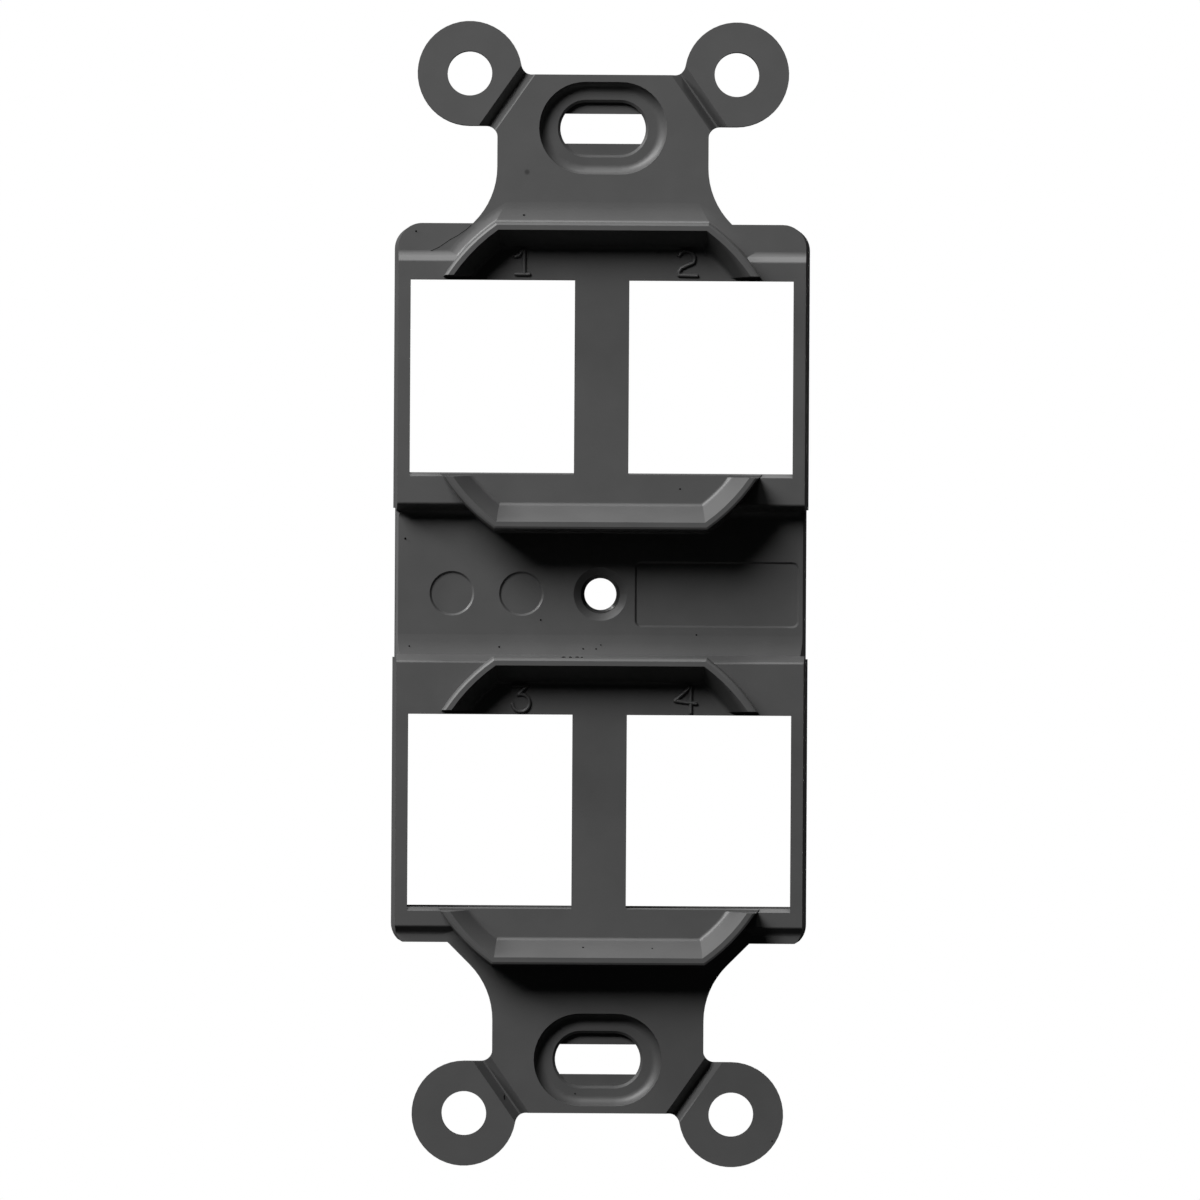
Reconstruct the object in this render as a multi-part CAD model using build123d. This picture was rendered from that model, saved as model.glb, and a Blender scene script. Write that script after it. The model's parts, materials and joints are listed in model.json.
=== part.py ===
from build123d import *
import os
from math import cos, radians, sin, tan

# Faceplate adapter frame: one piece moulded in dark thermoplastic. It screws to a wall
# box by two slotted strap ends, holds four snap-in jacks in two deep wells, and raises
# two duplex faces that come through the openings of a duplex cover plate.
#
# X is right, Z is up and the front faces -Y. The origin is on the cover screw's axis in
# the wall plane, which is the back face of the strap. A level is a height forward of
# that plane: level 2 is at Y = -2, and levels below zero are inside the wall box.

# Wiring-device standard: strap screws 3.281 in apart, duplex faces 1.53 in apart
screw_spacing = 83.34
face_spacing = 38.86

# Levels of the front
strap_level = 2.2
block_level = 2.8
middle_level = 0.6
rim_level = 6.0

# Levels of the back
plate_thickness = 2.0
side_rib_depth = 1.0
well_depth = 9.8
boss_depth = 6.4

# Four jack windows, and the room that each well has round its jack
window_width = 14.7
window_height = 17.25
bar_width = 4.87
lip_thickness = 1.6
cavity_margin = 0.15
side_wall = 1.07
latch_room = 3.55
hook_room = 1.65
well_wall = 1.5
ledge_depth = 2.2
latch_ledge = 1.6
ledge_lead = 0.7
sill_chamfer = 0.35
sill_break = 0.12

# Body sides: drafted, wider at the back
side_draft = 2.9
corner_radius = 2.1
corner_overrun = 0.58
corner_blend = 0.3
step_run = 0.58
step_margin = 2.0
step_blend = 0.8
edge_round = 0.25
side_break = 0.2

# Shallow flare that lifts a floor towards a wall: its run, its rise and its run round a corner
flare_run = 1.8
flare_rise = 0.19
flare_corner_run = 1.0

# Duplex face rims: a truncated circle, broken beside the windows. Its radius and flats
# are measured at the top, outside the edge break
rim_radius = 16.66
rim_flat = 13.68
rim_draft = 1.8
rim_edge = 0.24
rim_top_width = 0.42
rim_inner_run = 1.33
rim_flat_inner_run = 1.52
rim_inner_blend = 0.4
rim_gap = 0.22
rim_foot = 0.25
rim_end_draft = 1.5

# Strap ends. Overhang and neck drop are measured from the strap screw
strap_half_width = 9.45
strap_overhang = 4.78
neck_radius = 7.0
neck_drop = 3.52

# Snap-off ears. Their reach is measured from the strap screw
ear_spacing_x = 23.9
ear_reach = 4.86
ear_radius = 4.67
ear_hole_radius = 2.0
ear_neck_radius = 1.0
ear_top_radius = 1.0
groove_angle = 55.0
groove_width = 1.5
groove_floor = 0.15
groove_depth = 1.05
groove_offset = 4.1

# Screw slots: recess for the head, slot for the shank and two captive lips
recess_length = 11.45
recess_height = 8.28
recess_depth = 1.0
recess_blend = 0.85
slot_length = 7.65
slot_height = 4.7
slot_lead = 0.23
lip_gap = 2.68
lip_depth = 0.55

# Cover screw: no. 6-32, bore at the thread's outer radius
screw_bore_radius = 1.75
screw_sink_radius = 2.4
screw_sink_depth = 0.5
boss_radius = 3.75

# Shallow recesses in the middle floor: one long panel and two round spots
mark_depth = 0.2
mark_slope = 0.18
panel_left = 3.08
panel_right = 17.8
panel_height = 5.9
panel_corner = 0.6
spot_radius = 2.0
spot_places = (-13.3, -7.07)

# Sizes that follow from the ones above
face_z = face_spacing / 2
face_half_width = bar_width / 2 + window_width + side_wall
window_x = (bar_width + window_width) / 2
window_half = window_height / 2
well_top = window_half + latch_room + well_wall
well_bottom = window_half + hook_room + well_wall
body_top = face_z + well_top
body_bottom = -face_z - well_bottom
well_back = block_level - well_depth
middle_back = middle_level - plate_thickness
rib_back = middle_back - side_rib_depth
screw_z = screw_spacing / 2
strap_end = screw_z + strap_overhang
neck_start = screw_z - neck_drop
ear_x = ear_spacing_x / 2
ear_z = screw_z + ear_reach
back_half_width = face_half_width + well_depth * tan(radians(side_draft))
strap_base = strap_level / 2
clear = 1.0

# Views: front sketches use X and Z, side sketches use Z and level
FRONT = Plane.XZ
SIDE = Plane(origin=(0, 0, 0), x_dir=(0, 0, 1), z_dir=(1, 0, 0))


def between(sketch, low, high):
    """A front-view sketch extruded from one level to another."""
    return extrude(FRONT.offset(low) * sketch, high - low)


def across(face, half_width):
    """A side-view sketch extruded to both sides of the middle."""
    return extrude(SIDE * face, half_width, both=True)


def rectangle(x_low, x_high, z_low, z_high):
    """A front-view rectangle given by its edges."""
    centre = Pos((x_low + x_high) / 2, (z_low + z_high) / 2)
    return centre * Rectangle(x_high - x_low, z_high - z_low)


def near(shape, x, y):
    """The vertex of a flat sketch that is nearest a point."""
    return min(shape.vertices(), key=lambda v: (v.X - x) ** 2 + (v.Y - y) ** 2)


def rounded(shape, corners):
    """A flat sketch with the corner at each (x, y, radius) filleted."""
    for x, y, radius in corners:
        shape = fillet(near(shape, x, y), radius)
    return shape


def both_ends(shape):
    """A shape and its mirror image at the other end of the frame."""
    return shape + mirror(shape, about=Plane.XY)


def both_sides(shape):
    """A shape and its mirror image on the other side of the frame."""
    return shape + mirror(shape, about=Plane.YZ)


def strap_outline():
    """Front view of the upper strap end, its two ears and its flared neck."""
    flare = neck_radius * sin(radians(45))
    flare_x = strap_half_width + neck_radius - flare
    flare_z = neck_start - flare
    foot_z = face_z + window_half
    foot_x = flare_x + flare_z - foot_z
    neck = CenterArc((strap_half_width + neck_radius, neck_start), neck_radius, 180, 45)
    side = Polyline((strap_half_width, neck_start), (strap_half_width, strap_end), (0, strap_end))
    foot = Polyline((flare_x, flare_z), (foot_x, foot_z), (0, foot_z), (0, strap_end))
    half = make_face(Curve() + [side, neck, foot])
    ear = Pos(ear_x, ear_z) * Circle(ear_radius)
    web = rectangle(0, ear_x, ear_z - ear_radius, strap_end)
    half = half + ear + web
    top_x = ear_x - ear_radius
    corners = [
        (strap_half_width, ear_z - ear_radius, ear_neck_radius),
        (top_x, strap_end, ear_top_radius),
    ]
    half = rounded(half, corners)
    return half + mirror(half, about=Plane.YZ)


def ear_groove():
    """The snap-off groove across the neck of the upper right ear."""
    angle = radians(groove_angle)
    place = (ear_x - groove_offset * sin(angle), ear_z - groove_offset * cos(angle))
    top = groove_width / 2 + clear * (groove_width - groove_floor) / 2 / groove_depth
    section = Polygon(
        (-groove_floor / 2, strap_level - groove_depth),
        (groove_floor / 2, strap_level - groove_depth),
        (top, strap_level + clear),
        (-top, strap_level + clear),
        align=None,
    )
    along = (-cos(angle), 0, sin(angle))
    across_groove = (sin(angle), 0, cos(angle))
    plane = Plane(origin=(place[0], 0, place[1]), x_dir=across_groove, z_dir=along)
    if plane.y_dir.Y > 0:
        plane = Plane(origin=plane.origin, x_dir=across_groove, z_dir=plane.z_dir.reverse())
    return extrude(plane * section, 2 * ear_radius, both=True)


def screw_slot():
    """Cuts of the upper screw slot: head recess, shank slot and captive lips' gap."""
    place = Pos(0, screw_z)
    recess_floor = strap_level - recess_depth
    head = between(place * SlotOverall(recess_length, recess_height), recess_floor, strap_level + clear)
    floor_edges = head.faces().sort_by(Axis.Y)[-1].edges()
    head = fillet(floor_edges, min(recess_blend, 0.95 * recess_depth))
    slot = place * SlotOverall(slot_length, slot_height)
    mouth = place * SlotOverall(slot_length + 2 * slot_lead, slot_height + 2 * slot_lead)
    shank = between(slot, lip_depth, strap_level)
    lead = loft([FRONT.offset(recess_floor - slot_lead) * slot, FRONT.offset(recess_floor) * mouth])
    lips = slot & (place * Rectangle(slot_length, lip_gap))
    return [head, shank, lead, between(lips, -clear, lip_depth)]


def body_outline(half_width):
    """Front view of the body: a rounded rectangle cut short along its bottom edge."""
    low = body_bottom - corner_overrun
    outline = rectangle(-half_width, half_width, low, body_top)
    outline = fillet(outline.vertices(), corner_radius)
    outline = outline - rectangle(-2 * half_width, 2 * half_width, low - clear, body_bottom)
    cut = outline.vertices().group_by(Axis.Y)[0]
    return fillet(cut, corner_blend)


def body_levels():
    """Side view of the body: shoulders, two window blocks, middle floor and wells."""
    run = step_run / 2
    upper_low = face_z - well_bottom
    lower_high = -face_z + well_top
    upper_step = face_z + window_half + step_margin
    lower_step = -face_z - window_half - step_margin
    flare_top = (lower_high + run, middle_level + flare_rise)
    lower_block_top = (lower_high - run, block_level)
    lower_block_foot = (lower_step + run, block_level)
    lower_shoulder = (lower_step - run, strap_level)
    upper_shoulder = (upper_step + run, strap_level)
    upper_block_top = (upper_step - run, block_level)
    upper_block_foot = (upper_low + run, block_level)
    middle_top = (upper_low - run, middle_level)
    flare_foot = (lower_high + run + flare_run, middle_level)
    outline = Polyline(
        flare_top,
        lower_block_top,
        lower_block_foot,
        lower_shoulder,
        (body_bottom, strap_level),
        (body_bottom, well_back),
        (lower_high, well_back),
        (lower_high, rib_back),
        (upper_low, rib_back),
        (upper_low, well_back),
        (body_top, well_back),
        (body_top, strap_level),
        upper_shoulder,
        upper_block_top,
        upper_block_foot,
        middle_top,
        flare_foot,
    )
    flare = TangentArc(flare_foot, flare_top, tangent=(-1, 0))
    shape = make_face(Curve() + [outline, flare])
    block_corners = [lower_block_top, lower_block_foot, upper_block_top, upper_block_foot]
    corners = [(*corner, edge_round) for corner in block_corners]
    corners += [(*upper_shoulder, step_blend), (*middle_top, step_blend)]
    corners += [(*lower_shoulder, step_blend / 2)]
    return rounded(shape, corners)


def side_breaks():
    """Broken edges along both sides of the middle floor."""
    edge = face_half_width + (block_level - middle_level) * tan(radians(side_draft))
    corner = Polygon(
        (edge - side_break - clear, -middle_level - clear),
        (edge + clear, -middle_level - clear),
        (edge + clear, -middle_level + side_break + clear),
        align=None,
    )
    low = -face_z + well_top + step_run / 2
    high = face_z - well_bottom - step_run / 2
    return both_sides(extrude(Plane.XY.offset(low) * corner, high - low))


def body():
    """The drafted body, closed in front and open behind between its side ribs."""
    front_half_width = face_half_width - clear * tan(radians(side_draft))
    back = FRONT.offset(well_back) * body_outline(back_half_width)
    front = FRONT.offset(block_level + clear) * body_outline(front_half_width)
    envelope = loft([back, front], ruled=True)
    solid = envelope & across(body_levels(), back_half_width + clear)
    pocket_x = face_half_width - side_wall
    pocket = rectangle(-pocket_x, pocket_x, -face_z + well_top, face_z - well_bottom)
    solid = solid - between(pocket, rib_back - clear, middle_back)
    return solid - side_breaks()


def jack_well(z_centre):
    """The cut of one well: two jack cavities, their windows and the cored centre bar."""
    low = z_centre - window_half - hook_room
    high = z_centre + window_half + latch_room
    lip_back = block_level - lip_thickness
    ledge_front = well_back + ledge_depth
    inner_x = bar_width / 2
    cavity = rectangle(inner_x, inner_x + window_width + cavity_margin, low, high)
    window = Pos(window_x, z_centre) * Rectangle(window_width, window_height)
    cut = between(cavity, well_back - clear, lip_back)
    cut = cut + between(window, well_back - clear, rim_level + clear)
    hook_top = low + hook_room
    latch_low = high - latch_ledge
    hook = Polygon(
        (low - clear / 2, ledge_front),
        (hook_top, ledge_front),
        (hook_top, well_back + ledge_lead),
        (hook_top - ledge_lead, well_back),
        (low - clear / 2, well_back),
        align=None,
    )
    latch = Polygon(
        (high + clear / 2, ledge_front),
        (latch_low, ledge_front),
        (latch_low, well_back + ledge_lead),
        (latch_low + ledge_lead, well_back),
        (high + clear / 2, well_back),
        align=None,
    )
    cut = cut - across(hook + latch, back_half_width)
    gap = bar_width / 2 - well_wall
    core = rectangle(-gap, gap, low, high)
    return both_sides(cut) + between(core, well_back - clear, lip_back)


def wall_section(reach, floor, flare=0, start=0):
    """Half section of a rim's outer wall; its reach is measured at the rim's top."""
    base = floor - strap_base
    foot = reach + (rim_level - floor) * tan(radians(rim_draft))
    lean = (rim_level - base) * tan(radians(rim_end_draft)) if start else 0
    break_mid = rim_edge * (1 - sin(radians(45)))
    foot_level = floor + flare_rise if flare else floor
    outside = foot + (flare or 2 * rim_foot)
    outline = Polyline(
        (foot, foot_level),
        (reach, rim_level - rim_edge),
        (reach - break_mid, rim_level - break_mid),
        (reach - rim_edge, rim_level),
        (start + lean, rim_level),
        (start, base),
        (outside, base),
        (outside, floor),
    )
    if flare:
        slope = TangentArc((outside, floor), (foot, foot_level), tangent=(-1, 0))
    else:
        slope = Line((outside, floor), (foot, foot_level))
    return rounded(make_face(Curve() + [outline, slope]), [(foot, foot_level, rim_foot)])


def hollow_section(reach, run):
    """Half section of the sunk floor inside a rim, with the run of its sloping wall."""
    lift = clear * run / (rim_level - block_level)
    points = [
        (0, block_level),
        (reach - run, block_level),
        (reach + lift, rim_level + clear),
        (0, rim_level + clear),
    ]
    return rounded(Polygon(*points, align=None), [(reach - run, block_level, rim_inner_blend)])


def turned(section, z_centre):
    """A half section revolved about the axis of one duplex face."""
    plane = Plane(origin=(0, 0, z_centre), x_dir=(1, 0, 0), z_dir=(0, 0, -1))
    return revolve(plane * section, Axis((0, 0, z_centre), (0, -1, 0)), 360)


def straight(section, z_centre, sign):
    """A half section drawn across the frame, above or below one duplex face."""
    solid = across(section, 2 * rim_radius)
    if sign < 0:
        solid = mirror(solid, about=Plane.XY)
    return Pos(0, 0, z_centre) * solid


def rim(z_centre, sign, floor):
    """One rim bar: the truncated circle beyond the windows, hollowed to the block."""
    wall = rim_edge + rim_top_width
    start = window_half + rim_gap
    on_strap = floor == strap_level
    disc_wall = wall_section(rim_radius, floor, flare_corner_run if on_strap else 0)
    slab_wall = wall_section(rim_flat, floor, flare_run if on_strap else 0, start)
    disc = turned(disc_wall, z_centre)
    slab = straight(slab_wall, z_centre, sign)
    inner_disc = turned(hollow_section(rim_radius - wall, rim_inner_run), z_centre)
    inner_slab = straight(hollow_section(rim_flat - wall, rim_flat_inner_run), z_centre, sign)
    return (disc & slab) - (inner_disc & inner_slab)


def sill(z_edge, size):
    """Chamfers of one size on the lower front edges of a pair of windows."""
    over = clear / 4
    wedge = Polygon(
        (z_edge - size, block_level),
        (z_edge + over, block_level - size - over),
        (z_edge + over, block_level),
        align=None,
    )
    return both_sides(extrude(SIDE.offset(bar_width / 2) * wedge, window_width))


def window_sills():
    """Chamfers below each window: a small one between the rims and a larger one outside."""
    sills = []
    for z_centre in (face_z, -face_z):
        edge = z_centre - window_half
        rims = turned(wall_section(rim_radius, middle_level), z_centre)
        sills += [sill(edge, sill_break), sill(edge, sill_chamfer) - rims]
    return sills


def cover_screw_bore():
    """Bore and countersink for the cover plate's screw."""
    sink_floor = middle_level - screw_sink_depth
    bore = between(Circle(screw_bore_radius), middle_level - boss_depth - clear, middle_level + clear)
    cone_low = FRONT.offset(sink_floor) * Circle(screw_bore_radius)
    cone_high = FRONT.offset(middle_level) * Circle(screw_sink_radius)
    return bore + loft([cone_low, cone_high])


def mark_recesses():
    """Bare shallow recesses in the middle floor, with sloping walls."""
    floor = middle_level - mark_depth
    panel = rectangle(panel_left, panel_right, -panel_height / 2, panel_height / 2)
    outlines = [fillet(panel.vertices(), panel_corner)]
    outlines += [Pos(x, 0) * Circle(spot_radius) for x in spot_places]
    return [
        loft([FRONT.offset(floor) * offset(outline, -mark_slope), FRONT.offset(middle_level) * outline])
        for outline in outlines
    ]


def adapter_frame():
    """The whole moulding."""
    straps = both_ends(between(strap_outline(), 0, strap_level))
    solid = straps + body()
    solid = solid + rim(face_z, 1, strap_level) + rim(face_z, -1, middle_level)
    solid = solid + rim(-face_z, 1, middle_level) + rim(-face_z, -1, strap_level)
    solid = solid + between(Circle(boss_radius), middle_level - boss_depth, middle_level - mark_depth)
    ear_hole = between(Pos(ear_x, ear_z) * Circle(ear_hole_radius), -clear, strap_level + clear)
    cuts = [jack_well(face_z), jack_well(-face_z), cover_screw_bore()]
    cuts += window_sills() + mark_recesses()
    cuts += [both_ends(both_sides(tool)) for tool in (ear_groove(), ear_hole)]
    cuts += [both_ends(tool) for tool in screw_slot()]
    for cut in cuts:
        solid = solid - cut
    return solid


frame = adapter_frame()
os.makedirs("parts", exist_ok=True)
export_step(frame, "parts/adapter_frame.step")
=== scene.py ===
import json
from math import cos, pi, radians, sin, tan

import bmesh
import bpy
from mathutils import Matrix, Vector


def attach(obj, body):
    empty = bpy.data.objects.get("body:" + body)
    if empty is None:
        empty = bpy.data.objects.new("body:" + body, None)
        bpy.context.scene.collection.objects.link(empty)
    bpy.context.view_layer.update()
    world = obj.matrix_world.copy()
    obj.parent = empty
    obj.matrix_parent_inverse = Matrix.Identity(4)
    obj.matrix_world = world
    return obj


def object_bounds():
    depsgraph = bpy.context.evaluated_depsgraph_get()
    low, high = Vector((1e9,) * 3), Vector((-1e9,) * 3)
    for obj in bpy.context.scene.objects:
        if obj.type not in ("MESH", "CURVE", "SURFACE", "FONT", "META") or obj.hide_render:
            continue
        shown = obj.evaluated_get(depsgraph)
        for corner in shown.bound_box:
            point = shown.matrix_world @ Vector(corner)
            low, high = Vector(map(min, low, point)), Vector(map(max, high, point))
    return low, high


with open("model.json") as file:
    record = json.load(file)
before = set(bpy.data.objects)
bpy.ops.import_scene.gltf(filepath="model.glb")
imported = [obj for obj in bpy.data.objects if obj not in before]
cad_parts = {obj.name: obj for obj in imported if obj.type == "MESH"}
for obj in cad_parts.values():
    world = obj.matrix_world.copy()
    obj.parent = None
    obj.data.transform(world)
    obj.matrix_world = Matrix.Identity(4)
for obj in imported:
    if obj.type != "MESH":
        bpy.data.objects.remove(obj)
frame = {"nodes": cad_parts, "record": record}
cad_low, cad_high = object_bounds()

# The moulding. The whole frame is one shot of dark grey thermoplastic, ABS or polycarbonate, from a
# finely spark-eroded tool, so its skin is satin: soft highlights on every rounding, and flat faces
# that look faintly mottled. The upper strap has one faint round mark below its slot.
MM = 0.001
plastic_colour = "#434343"
plastic_mottle_colour = "#4D4D4D"
plastic_mark_colour = "#2C2C2C"
mark_place = (-6.78 * MM, -2.2 * MM, 37.71 * MM)
mark_inner_radius = 0.12 * MM
mark_outer_radius = 0.3 * MM
plastic_ior = 1.53
plastic_roughness = 0.5
mottle_size = 3.5 * MM
mottle_detail = 3
grain_size = 0.16 * MM
grain_detail = 2
grain_depth = 0.0025 * MM


def linear(colour):
    """Linear red, green, blue and alpha of an sRGB hex colour."""
    parts = [int(colour[i:i + 2], 16) / 255 for i in (1, 3, 5)]
    return [p / 12.92 if p <= 0.04045 else ((p + 0.055) / 1.055) ** 2.4 for p in parts] + [1]


def add(tree, kind, settings=None, links=None):
    """A node with its settings, and with its inputs linked to other nodes' outputs."""
    node = tree.nodes.new(kind)
    for name, value in (settings or {}).items():
        if name in node.inputs:
            node.inputs[name].default_value = value
        else:
            setattr(node, name, value)
    for name, output in (links or {}).items():
        tree.links.new(output, node.inputs[name])
    return node


def material(name):
    """An empty material with its output node, ready for a surface."""
    made = bpy.data.materials.new(name)
    made.use_nodes = True
    made.node_tree.nodes.clear()
    return made, made.node_tree, add(made.node_tree, "ShaderNodeOutputMaterial")


plastic, tree, output = material("moulded_satin_thermoplastic")
place = add(tree, "ShaderNodeTexCoord").outputs["Object"]
coarse = {"Scale": 1 / mottle_size, "Detail": mottle_detail}
mottle = add(tree, "ShaderNodeTexNoise", coarse, {"Vector": place})
fine = {"Scale": 1 / grain_size, "Detail": grain_detail}
grain = add(tree, "ShaderNodeTexNoise", fine, {"Vector": place})
tint = add(tree, "ShaderNodeMix", {"data_type": "RGBA"}, {"Factor": mottle.outputs["Fac"]})
tint.inputs[6].default_value = linear(plastic_colour)
tint.inputs[7].default_value = linear(plastic_mottle_colour)
gap = add(tree, "ShaderNodeVectorMath", {"operation": "DISTANCE"}, {0: place})
gap.inputs[1].default_value = mark_place
clear = add(
    tree,
    "ShaderNodeMapRange",
    {"From Min": mark_inner_radius, "From Max": mark_outer_radius},
    {"Value": gap.outputs["Value"]},
)
marked = add(tree, "ShaderNodeMix", {"data_type": "RGBA"}, {"Factor": clear.outputs["Result"]})
marked.inputs[6].default_value = linear(plastic_mark_colour)
tree.links.new(tint.outputs[2], marked.inputs[7])
bump = add(tree, "ShaderNodeBump", {"Distance": grain_depth}, {"Height": grain.outputs["Fac"]})
skin = add(
    tree,
    "ShaderNodeBsdfPrincipled",
    {"Roughness": plastic_roughness, "IOR": plastic_ior},
    {"Base Color": marked.outputs[2], "Normal": bump.outputs["Normal"]},
)
tree.links.new(skin.outputs["BSDF"], output.inputs["Surface"])

moulding = frame["nodes"]["adapter_frame"]
moulding.data.materials.clear()
moulding.data.materials.append(plastic)


# Port numbers. The digits 1 to 4 are cut into the tool beside the windows, so on the moulding
# each one is a low bead of the same plastic, with round strokes, that stands on the sunk floor
# just above its window.
stroke_width = 0.36 * MM
bead_height = 0.26 * MM
bead_sides = 12
bend_steps = 14
ball_detail = 2
merge_distance = 0.0001
WALL = Vector((0, 1, 0))


def front_point(x, z):
    """The point of the moulding's front surface at a place given in millimetres."""
    start = Vector((x * MM, 2 * cad_low.y, z * MM))
    return moulding.ray_cast(start, WALL)[1]


def piece(name, mesh, look):
    """A finished mesh as an object of the scene, with its material."""
    data = bpy.data.meshes.new(name)
    mesh.to_mesh(data)
    mesh.free()
    data.materials.append(look)
    made = bpy.data.objects.new(name, data)
    bpy.context.scene.collection.objects.link(made)
    return made


def bead(mesh, start, end, centre=None, turn=0):
    """A round bar in millimetres, straight or turned about a centre, with ball ends."""
    radius = stroke_width / MM / 2
    start, end = Vector((start[0], 0, start[1])), Vector((end[0], 0, end[1]))
    for point in (start, end):
        ball = bmesh.ops.create_icosphere(mesh, subdivisions=ball_detail, radius=radius)["verts"]
        bmesh.ops.translate(mesh, vec=point, verts=ball)
    ring = bmesh.ops.create_circle(mesh, segments=bead_sides, radius=radius)["verts"]
    edges = list(dict.fromkeys(edge for vert in ring for edge in vert.link_edges))
    if centre is None:
        along = end - start
        turned = Vector((0, 0, 1)).rotation_difference(along).to_matrix()
        bmesh.ops.rotate(mesh, matrix=turned, verts=ring)
        bmesh.ops.translate(mesh, vec=start, verts=ring)
        moved = bmesh.ops.extrude_edge_only(mesh, edges=edges)["geom"]
        moved = [item for item in moved if isinstance(item, bmesh.types.BMVert)]
        bmesh.ops.translate(mesh, vec=along, verts=moved)
    else:
        centre = Vector((centre[0], 0, centre[1]))
        arm = start - centre
        turned = Vector((0, 0, 1)).rotation_difference(WALL.cross(arm)).to_matrix()
        bmesh.ops.rotate(mesh, matrix=turned, verts=ring)
        bmesh.ops.translate(mesh, vec=start, verts=ring)
        bmesh.ops.spin(mesh, geom=ring + edges, cent=centre, axis=WALL, angle=turn, steps=bend_steps)


def digit_one(mesh):
    """A stem with a flag and a foot."""
    bead(mesh, (0, -0.05), (0, 2.25))
    bead(mesh, (-0.75, -0.05), (0.45, -0.05))
    bead(mesh, (-0.8, 1.52), (-0.45, 1.62))
    bead(mesh, (-0.45, 1.62), (-0.05, 2.22))


def arc_end(start, centre, turn):
    """Where a point lands that is turned about a centre, as bead turns it."""
    arm = Vector((start[0] - centre[0], 0, start[1] - centre[1]))
    arm.rotate(Matrix.Rotation(turn, 3, WALL))
    return centre[0] + arm.x, centre[1] + arm.z


def arc(mesh, start, centre, degrees):
    """A bent bar from a point, about a centre; returns its far end."""
    end = arc_end(start, centre, radians(degrees))
    bead(mesh, start, end, centre, radians(degrees))
    return end


def digit_two(mesh):
    """A hook that runs down to a straight base."""
    end = arc(mesh, (-0.72, 1.78), (-0.07, 1.47), 182)
    bead(mesh, end, (-0.5, 0.66))
    bead(mesh, (-0.5, 0.66), (-0.76, 0.32))
    bead(mesh, (-0.76, 0.32), (-0.76, 0))
    bead(mesh, (-0.76, 0), (0.88, -0.05))


def digit_three(mesh):
    """A flat top, a slanting bar and an open bowl."""
    bead(mesh, (-0.72, 2.25), (0.55, 2.28))
    bead(mesh, (0.55, 2.28), (-0.25, 1.47))
    arc(mesh, (-0.25, 1.47), (0, 0.73), 280)


def digit_four(mesh):
    """A slanting bar, a crossbar and a stem."""
    bead(mesh, (-0.03, 2.28), (-1.42, 1.04))
    bead(mesh, (-1.42, 1.04), (0.48, 0.8))
    bead(mesh, (0, 2.28), (0, 0))


# Each digit, with the place of its lower middle in millimetres
numerals = {
    "port_number_1": (digit_one, -6.97, 28.6),
    "port_number_2": (digit_two, 7.6, 28.54),
    "port_number_3": (digit_three, -7.05, -10.5),
    "port_number_4": (digit_four, 8.14, -10.55),
}
for name, (draw, x, z) in numerals.items():
    mesh = bmesh.new()
    draw(mesh)
    bmesh.ops.remove_doubles(mesh, verts=mesh.verts, dist=merge_distance)
    bmesh.ops.recalc_face_normals(mesh, faces=mesh.faces)
    flat = 2 * bead_height / stroke_width
    bmesh.ops.scale(mesh, vec=Vector((MM, MM * flat, MM)), verts=mesh.verts)
    bmesh.ops.translate(mesh, vec=front_point(x, z), verts=mesh.verts)
    for face in mesh.faces:
        face.smooth = True
    numeral = piece(name, mesh, plastic)
    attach(numeral, "root")


# The thread of the centre hole. A threaded core pin forms it with the moulding, so it is the same
# plastic, but glossy, because the pin is ground and not spark-eroded: a 6-32 ridge that winds down
# the bore behind a short plain lead, and fades out over its first and last half turn.
mounts = {mount["name"]: mount for mount in frame["record"]["mounts"]}
bore_radius = mounts["cover_screw"]["dims"]["r_mm"] * MM
inch = 25.4 * MM
thread_pitch = inch / 32
thread_flank = 30
thread_minor_radius = 1.43 * MM
thread_crest = thread_pitch / 4
thread_sink = 0.03 * MM
thread_front = 0.65 * MM
thread_back = 5.6 * MM
turn_steps = 48
half_turn_steps = turn_steps / 2
thread_roughness = 0.2

glossy, tree, output = material("moulded_glossy_thermoplastic")
surface = add(
    tree,
    "ShaderNodeBsdfPrincipled",
    {"Base Color": linear(plastic_colour), "Roughness": thread_roughness, "IOR": plastic_ior},
)
tree.links.new(surface.outputs["BSDF"], output.inputs["Surface"])

depth = bore_radius - thread_minor_radius
base = thread_crest + 2 * depth * tan(radians(thread_flank))
mesh = bmesh.new()
corners = [
    (bore_radius + thread_sink, -base / 2),
    (thread_minor_radius, -thread_crest / 2),
    (thread_minor_radius, thread_crest / 2),
    (bore_radius + thread_sink, base / 2),
]
section = [mesh.verts.new((x, thread_front + y, 0)) for x, y in corners]
ring = [mesh.edges.new((section[i - 1], section[i])) for i in range(len(section))]
turns = (thread_back - thread_front) / thread_pitch
steps = round(turns * turn_steps)
last = bmesh.ops.spin(
    mesh,
    geom=section + ring,
    cent=(0, 0, 0),
    axis=WALL,
    dvec=WALL * thread_pitch / turn_steps,
    angle=2 * pi * turns,
    steps=steps,
)["geom_last"]
mesh.faces.new(section)
mesh.faces.new([item for item in last if isinstance(item, bmesh.types.BMVert)])
for index, vert in enumerate(mesh.verts):
    step = index // len(corners)
    height = min(step, steps - step, half_turn_steps) / half_turn_steps
    across = Vector((vert.co.x, 0, vert.co.z))
    sunk = across.normalized() * (bore_radius + thread_sink)
    vert.co += (sunk - across) * (1 - height)
bmesh.ops.recalc_face_normals(mesh, faces=mesh.faces)
thread = piece("screw_thread", mesh, glossy)
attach(thread, "root")


# Specks. Dark dust lies on the skin, as on any moulding that has been handled: grains 0.1 to 0.4 mm
# across, and two hair-thin fibres, a long one on the left shoulder and a short one in the lower
# left ear's groove.
dust_colour = "#0A0A0A"
grain_flatness = 0.9
fibre_sides = 8

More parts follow.
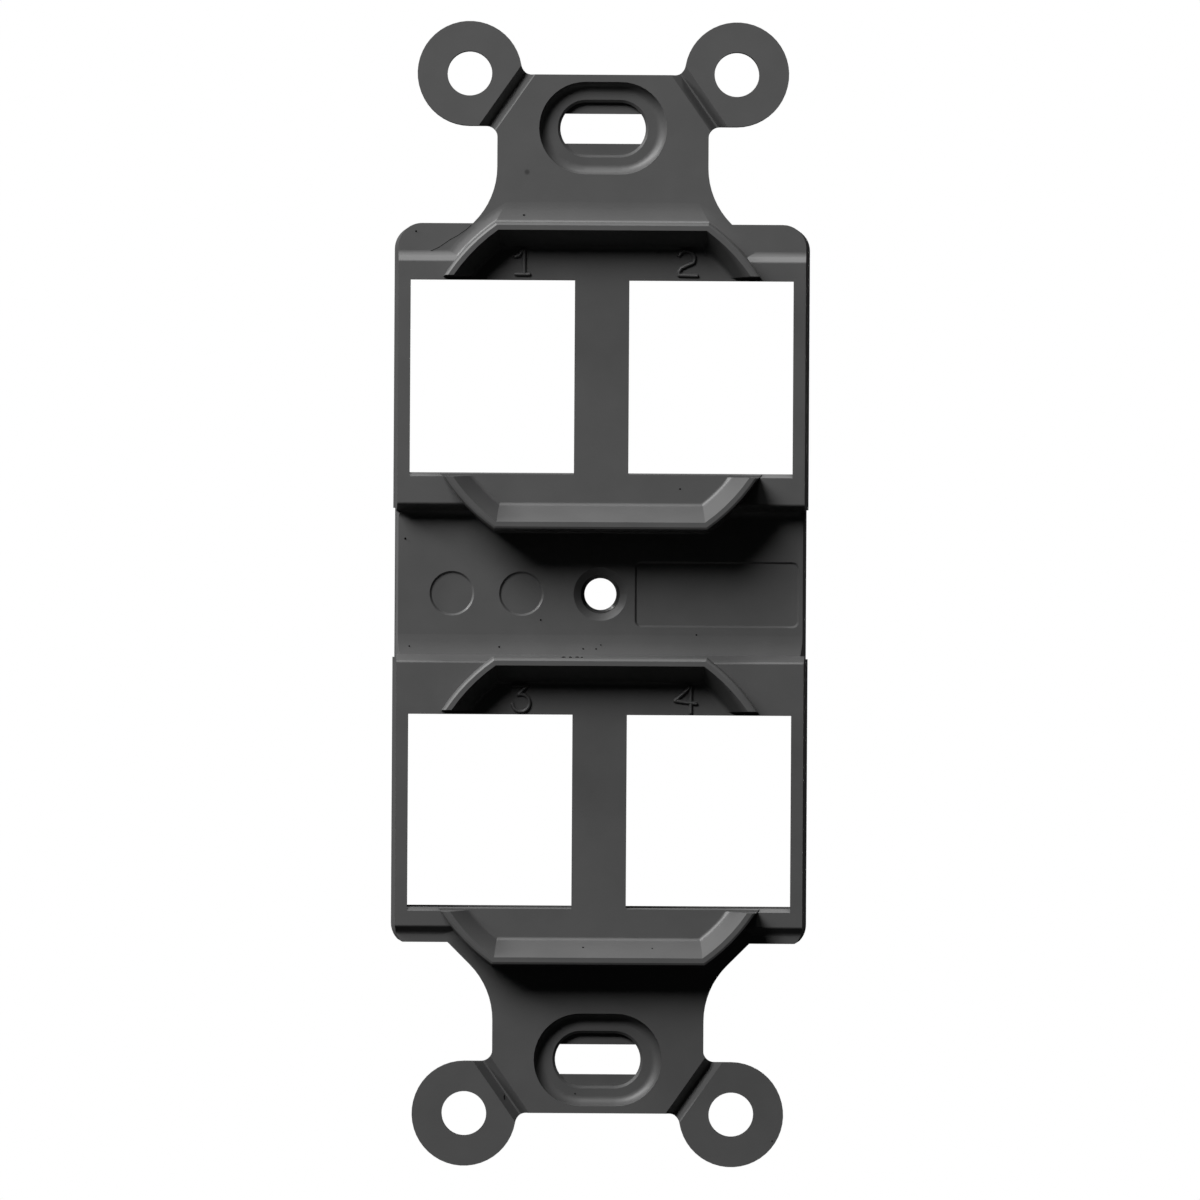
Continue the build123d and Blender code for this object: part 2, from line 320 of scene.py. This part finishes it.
dust, tree, output = material("dark_dust")
surface = add(tree, "ShaderNodeBsdfDiffuse", {"Color": linear(dust_colour)})
tree.links.new(surface.outputs["BSDF"], output.inputs["Surface"])

# Each grain's place and its width and height across the face, in millimetres
grains = [
    (-17.5, 4.87, 0.2, 0.2),
    (7.07, 9.44, 0.2, 0.13),
    (-17.09, -4.75, 0.17, 0.14),
    (-9.04, -4.79, 0.16, 0.16),
    (8.62, -3.61, 0.15, 0.15),
    (-1.51, -4.92, 0.17, 0.13),
    (-0.36, -4.91, 0.15, 0.13),
    (0.06, -4.55, 0.13, 0.13),
    (-3.25, -5.69, 0.4, 0.18),
    (-2.64, -5.69, 0.3, 0.17),
    (-2.04, -5.69, 0.42, 0.18),
    (-1.62, -5.69, 0.24, 0.17),
    (-5.33, -2.35, 0.16, 0.16),
    (-1.36, -31.58, 0.2, 0.14),
    (4.81, -31.63, 0.14, 0.14),
    (-2.01, -44.73, 0.13, 0.13),
    (15.64, -48.83, 0.12, 0.12),
    (-16.68, 32.37, 0.16, 0.16),
    (-7.03, 33.86, 0.24, 0.12),
    (11.65, -8.6, 0.12, 0.12),
]
# Each fibre's points across the face and its thickness, in millimetres
fibres = [
    (
        0.04,
        [(-15.35, 30.6), (-14.6, 30.95), (-13.6, 31.65), (-12.95, 32.0), (-12.1, 32.6), (-11.75, 32.95)],
    ),
    (0.09, [(-8.34, -45.26), (-8.36, -45.08), (-8.34, -44.9)]),
]


def scatter(mesh, x, z, width, height):
    """One grain on the moulding's front: a ball of 1 mm, scaled to its size in millimetres."""
    thickness = min(width, height) * grain_flatness
    ball = bmesh.ops.create_icosphere(mesh, subdivisions=ball_detail, radius=0.5 * MM)["verts"]
    bmesh.ops.scale(mesh, vec=Vector((width, thickness, height)), verts=ball)
    bmesh.ops.translate(mesh, vec=front_point(x, z), verts=ball)


mesh = bmesh.new()
for grain in grains:
    scatter(mesh, *grain)
for width, points in fibres:
    radius = width * MM / 2
    for start, end in zip(points, points[1:]):
        start, end = front_point(*start), front_point(*end)
        along = end - start
        bar = bmesh.ops.create_cone(
            mesh,
            cap_ends=True,
            segments=fibre_sides,
            radius1=radius,
            radius2=radius,
            depth=along.length + radius,
        )["verts"]
        turned = Vector((0, 0, 1)).rotation_difference(along).to_matrix()
        bmesh.ops.rotate(mesh, matrix=turned, verts=bar)
        bmesh.ops.translate(mesh, vec=(start + end) / 2, verts=bar)
for face in mesh.faces:
    face.smooth = True
specks = piece("dust_specks", mesh, dust)
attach(specks, "root")


# The set. The frame hangs free in front of white, over a pale painted floor that lies well below
# it and is clear from underneath. Black studio cloth all round, beyond the lamps, keeps the white
# out of the satin skin's reflections, as the dark right side of the photographed body shows.
floor_drop = 0.1
floor_reach = 0.9
floor_colour = "#E8E8E8"
floor_bounce_colour = "#161616"
cloth_radius = 2.8
cloth_detail = 4
cloth_colour = "#050505"
ambient = 0.03

paint, tree, output = material("matte_floor_paint")
ray = add(tree, "ShaderNodeLightPath")
tint = add(tree, "ShaderNodeMix", {"data_type": "RGBA"}, {"Factor": ray.outputs["Is Camera Ray"]})
tint.inputs[6].default_value = linear(floor_bounce_colour)
tint.inputs[7].default_value = linear(floor_colour)
upper = add(tree, "ShaderNodeBsdfDiffuse", {}, {"Color": tint.outputs[2]})
under = add(tree, "ShaderNodeBsdfTransparent")
side = add(tree, "ShaderNodeNewGeometry").outputs["Backfacing"]
surface = add(tree, "ShaderNodeMixShader", {}, {"Fac": side})
tree.links.new(upper.outputs["BSDF"], surface.inputs[1])
tree.links.new(under.outputs["BSDF"], surface.inputs[2])
tree.links.new(surface.outputs["Shader"], output.inputs["Surface"])
mesh = bmesh.new()
bmesh.ops.create_grid(mesh, x_segments=1, y_segments=1, size=floor_reach)
bmesh.ops.translate(mesh, vec=(0, 0, cad_low.z - floor_drop), verts=mesh.verts)
floor = piece("studio_floor", mesh, paint)

cloth, tree, output = material("black_studio_cloth")
surface = add(tree, "ShaderNodeBsdfDiffuse", {"Color": linear(cloth_colour)})
tree.links.new(surface.outputs["BSDF"], output.inputs["Surface"])
mesh = bmesh.new()
bmesh.ops.create_icosphere(mesh, subdivisions=cloth_detail, radius=cloth_radius)
drape = piece("studio_cloth", mesh, cloth)
drape.visible_camera = False
drape.visible_diffuse = False
drape.visible_shadow = False

world = bpy.data.worlds.new("studio")
world.use_nodes = True
bpy.context.scene.world = world
tree = world.node_tree
tree.nodes.clear()
ray = add(tree, "ShaderNodeLightPath")
seen = ray.outputs["Is Camera Ray"]
for kind in ("Is Glossy Ray", "Is Transmission Ray"):
    both = add(tree, "ShaderNodeMath", {"operation": "MAXIMUM"})
    tree.links.new(seen, both.inputs[0])
    tree.links.new(ray.outputs[kind], both.inputs[1])
    seen = both.outputs["Value"]
dim = add(tree, "ShaderNodeBackground", {"Color": (1, 1, 1, 1), "Strength": ambient})
white = add(tree, "ShaderNodeBackground", {"Color": (1, 1, 1, 1), "Strength": 1.0})
blend = add(tree, "ShaderNodeMixShader", {}, {"Fac": seen})
tree.links.new(dim.outputs["Background"], blend.inputs[1])
tree.links.new(white.outputs["Background"], blend.inputs[2])
output = add(tree, "ShaderNodeOutputWorld", {}, {"Surface": blend.outputs["Shader"]})


# The lamps. One soft key from the upper left front makes the long shadows inside the rims, two
# low lamps above and beside it skim along the front and pick out every slope. A lamp behind shows
# the wells; it is kept out of reflections, which would whiten the body's sides from the front.
middle = (cad_low + cad_high) / 2


def towards(azimuth, tilt):
    """The direction tilted away from straight in front, towards an angle up from the right."""
    azimuth, tilt = radians(azimuth), radians(tilt)
    return sin(tilt) * cos(azimuth), -cos(tilt), sin(tilt) * sin(azimuth)


def lamp(name, direction, distance, size, level):
    """A round soft lamp; at level 1 a white surface that faces it renders as white."""
    light = bpy.data.lights.new(name, "AREA")
    light.shape = "DISK"
    light.size = size
    light.energy = level * pi * pi * distance * distance
    direction = Vector(direction).normalized()
    body = bpy.data.objects.new(name, light)
    body.location = middle + direction * distance
    body.rotation_euler = direction.to_track_quat("Z", "Y").to_euler()
    bpy.context.scene.collection.objects.link(body)
    return body


lamp("key_lamp", towards(125, 53), 1.0, 0.54, 1.33)
lamp("top_strip", towards(85, 84), 1.0, 0.25, 0.46)
lamp("side_strip", towards(145, 84), 1.0, 0.25, 0.96)
back_lamp = lamp("back_lamp", (0.25, 0.95, 0.2), 1.2, 0.6, 0.8)
back_lamp.visible_glossy = False


# The camera. A long lens stands square to the wall plane, level with the cover screw. The frame
# leans a third of a degree clockwise in the picture, which a little roll of the camera gives.
picture_width = 107.33 * MM
camera_distance = 1300 * MM
focus_level = 2.2 * MM
camera_roll = 0.0059
camera_x = -0.031 * MM
camera_z = -0.532 * MM
camera_reach = 20

view = bpy.data.cameras.new("camera")
view.sensor_fit = "HORIZONTAL"
view.lens = view.sensor_width * camera_distance / picture_width
camera = bpy.data.objects.new("camera", view)
camera.location = (camera_x, -focus_level - camera_distance, camera_z)
camera.rotation_euler = (radians(90), -camera_roll, 0)
bpy.context.scene.collection.objects.link(camera)
bpy.context.scene.camera = camera
view.clip_end = camera_reach

scene = bpy.context.scene
scene.view_settings.view_transform = "Standard"
